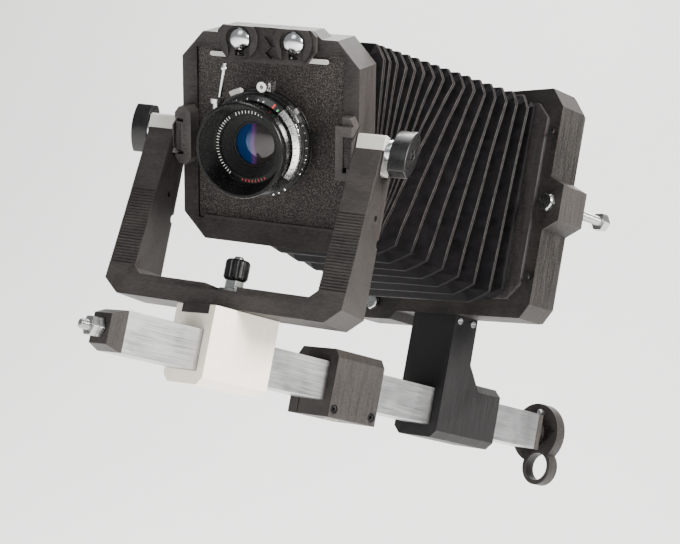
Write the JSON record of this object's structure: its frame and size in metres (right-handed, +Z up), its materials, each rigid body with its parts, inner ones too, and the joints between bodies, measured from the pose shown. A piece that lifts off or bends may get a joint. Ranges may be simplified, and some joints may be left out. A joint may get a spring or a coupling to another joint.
{
  "type": "view camera",
  "caption": "View camera on a square rail, with a swinging yoke and tilting lens frame, shuttered lens, pleated bellows and a focusing back on an upright post.",
  "frame": {"origin": "mouth of the threaded tripod socket, in the middle of the tripod block's bottom face", "axes": "+Z up, -Y towards the subject (lens side), +Y towards the focusing back, X across the rail"},
  "size_m": [0.1954, 0.4081, 0.2581],
  "materials": {
    "black_plastic": "printed, matte",
    "grey_plastic": "printed, matte",
    "cream_plastic": "printed, matte",
    "board_plastic": "pebbled, matte",
    "flange_plastic": "smooth, matte",
    "knob_plastic": "moulded, satin",
    "black_metal": "anodised, satin",
    "aluminium": "brushed",
    "steel": "turned",
    "chrome": "polished",
    "brass": "machined",
    "lens_glass": "coated, polished",
    "ground_glass": "ground",
    "bellows_fabric": "coated cloth, pleated"
  },
  "bodies": {
    "tripod_clamp": {"tripod_block": "black_plastic", "tripod_insert": "brass", "block_screws": "chrome"},
    "rail_group": {"rail": "aluminium", "front_end_cap": "black_plastic", "rear_end_plug": "black_plastic"},
    "crank": {"lead_screw": "steel", "lead_screw_nuts": "steel", "crank_disc": "black_plastic", "crank_pin": "steel"},
    "front_base": {"front_carriage": "cream_plastic", "follower_nut": "brass", "swing_foot": "black_plastic", "swing_stud": "steel"},
    "swing_clamp": {"swing_nut": "black_metal", "swing_knob": "knob_plastic"},
    "yoke": {"front_yoke": "black_plastic", "swing_washer": "chrome"},
    "risers": {"riser_block_left": "cream_plastic", "riser_block_right": "cream_plastic", "pivot_bolts": "steel", "pivot_washers": "chrome"},
    "left_tilt_clamp": {"tilt_knob_left": "knob_plastic"},
    "right_tilt_clamp": {"tilt_knob_right": "knob_plastic"},
    "lens_standard": {"lens_frame": "black_plastic", "pivot_plate_left": "grey_plastic", "pivot_plate_right": "grey_plastic", "pivot_hubs": "black_plastic", "lens_board": "board_plastic", "latch_bolts": "chrome", "shutter_body": "black_metal", "front_barrel": "black_metal", "front_glass": "lens_glass", "rear_barrel": "black_metal", "rear_glass": "lens_glass", "retaining_ring": "black_metal", "iris_leaves": "black_metal", "release_socket": "steel", "flash_terminal": "steel", "bellows_front_flange": "flange_plastic"},
    "latch": {"board_latch": "black_plastic", "latch_strip": "cream_plastic"},
    "speed_dial": {"speed_ring": "aluminium"},
    "aperture": {"aperture_lever": "steel"},
    "cocking": {"cocking_lever": "steel"},
    "preview": {"preview_lever": "cream_plastic"},
    "release": {"release_rod": "chrome"},
    "rear_standard": {"rear_post": "grey_plastic", "post_screws": "chrome", "rear_frame": "black_plastic", "back_studs": "steel", "back_nuts": "steel", "bellows_rear_flange": "flange_plastic", "flange_pins": "black_metal", "bellows": "bellows_fabric"},
    "focusing_back": {"ground_glass_frame": "black_plastic", "ground_glass": "ground_glass", "glass_clips": "black_metal"}
  },
  "joints": [
    {"name": "rail_slide", "type": "slide", "parent": "tripod_clamp", "child": "rail_group", "axis": [0, 1, 0], "range_m": [-0.015, 0.015]},
    {"name": "crank_turn", "type": "hinge", "parent": "rail_group", "child": "crank", "pos_m": [0, 0.1, 0.0229], "axis": [0, 1, 0], "range_deg": [-4320, 4320]},
    {"name": "focus_slide", "type": "slide", "parent": "rail_group", "child": "front_base", "axis": [0, 1, 0], "range_m": [-0.015, 0.015], "deforming": ["bellows"]},
    {"name": "rear_slide", "type": "slide", "parent": "rail_group", "child": "rear_standard", "axis": [0, 1, 0], "range_m": [-0.015, 0.015], "deforming": ["bellows"]},
    {"name": "swing", "type": "hinge", "parent": "front_base", "child": "yoke", "pos_m": [0, -0.0985, 0.0512], "axis": [0, 0, 1], "range_deg": [-56.9, 3.1], "deforming": ["bellows"]},
    {"name": "swing_knob_turn", "type": "hinge", "parent": "front_base", "child": "swing_clamp", "pos_m": [0, -0.0985, 0.075], "axis": [0, 0, 1], "range_deg": [0, 360]},
    {"name": "rise", "type": "slide", "parent": "yoke", "child": "risers", "axis": [0, 0, 1], "range_m": [0, 0.008], "deforming": ["bellows"]},
    {"name": "left_tilt_knob_turn", "type": "hinge", "parent": "risers", "child": "left_tilt_clamp", "pos_m": [-0.0043, -0.09003, 0.1634], "axis": [-0.8918, -0.4524, 0], "range_deg": [0, 360]},
    {"name": "right_tilt_knob_turn", "type": "hinge", "parent": "risers", "child": "right_tilt_clamp", "pos_m": [-0.0043, -0.09003, 0.1634], "axis": [0.8918, 0.4524, 0], "range_deg": [0, 360]},
    {"name": "tilt", "type": "hinge", "parent": "risers", "child": "lens_standard", "pos_m": [-0.0043, -0.09003, 0.1634], "axis": [0.8918, 0.4524, 0], "range_deg": [-55.3, 4.7], "deforming": ["bellows"]},
    {"name": "latch_slide", "type": "slide", "parent": "lens_standard", "child": "latch", "axis": [0.1934, -0.3811, 0.9041], "range_m": [0, 0.008]},
    {"name": "speed_ring_turn", "type": "hinge", "parent": "lens_standard", "child": "speed_dial", "pos_m": [0.00417, -0.10673, 0.15621], "axis": [-0.409, 0.8063, 0.4274], "range_deg": [-60, 60]},
    {"name": "aperture_lever_turn", "type": "hinge", "parent": "lens_standard", "child": "aperture", "pos_m": [0.00417, -0.10673, 0.15621], "axis": [-0.409, 0.8063, 0.4274], "range_deg": [-10, 50]},
    {"name": "cocking_lever_turn", "type": "hinge", "parent": "lens_standard", "child": "cocking", "pos_m": [0.00417, -0.10673, 0.15621], "axis": [-0.409, 0.8063, 0.4274], "range_deg": [0, 40]},
    {"name": "preview_lever_turn", "type": "hinge", "parent": "lens_standard", "child": "preview", "pos_m": [0.00417, -0.10673, 0.15621], "axis": [-0.409, 0.8063, 0.4274], "range_deg": [0, 15]},
    {"name": "release_press", "type": "slide", "parent": "lens_standard", "child": "release", "axis": [0.3403, -0.2997, 0.8912], "range_m": [-0.0035, 0], "stiffness_N_per_m": 300},
    {"name": "focusing_back_slide", "type": "slide", "parent": "rear_standard", "child": "focusing_back", "axis": [0, 1, 0], "range_m": [0, 0.014]}
  ],
  "couplings": [
    {"joint": "crank_turn", "follows": "focus_slide", "rad_per_m": 5026.5}
  ]
}
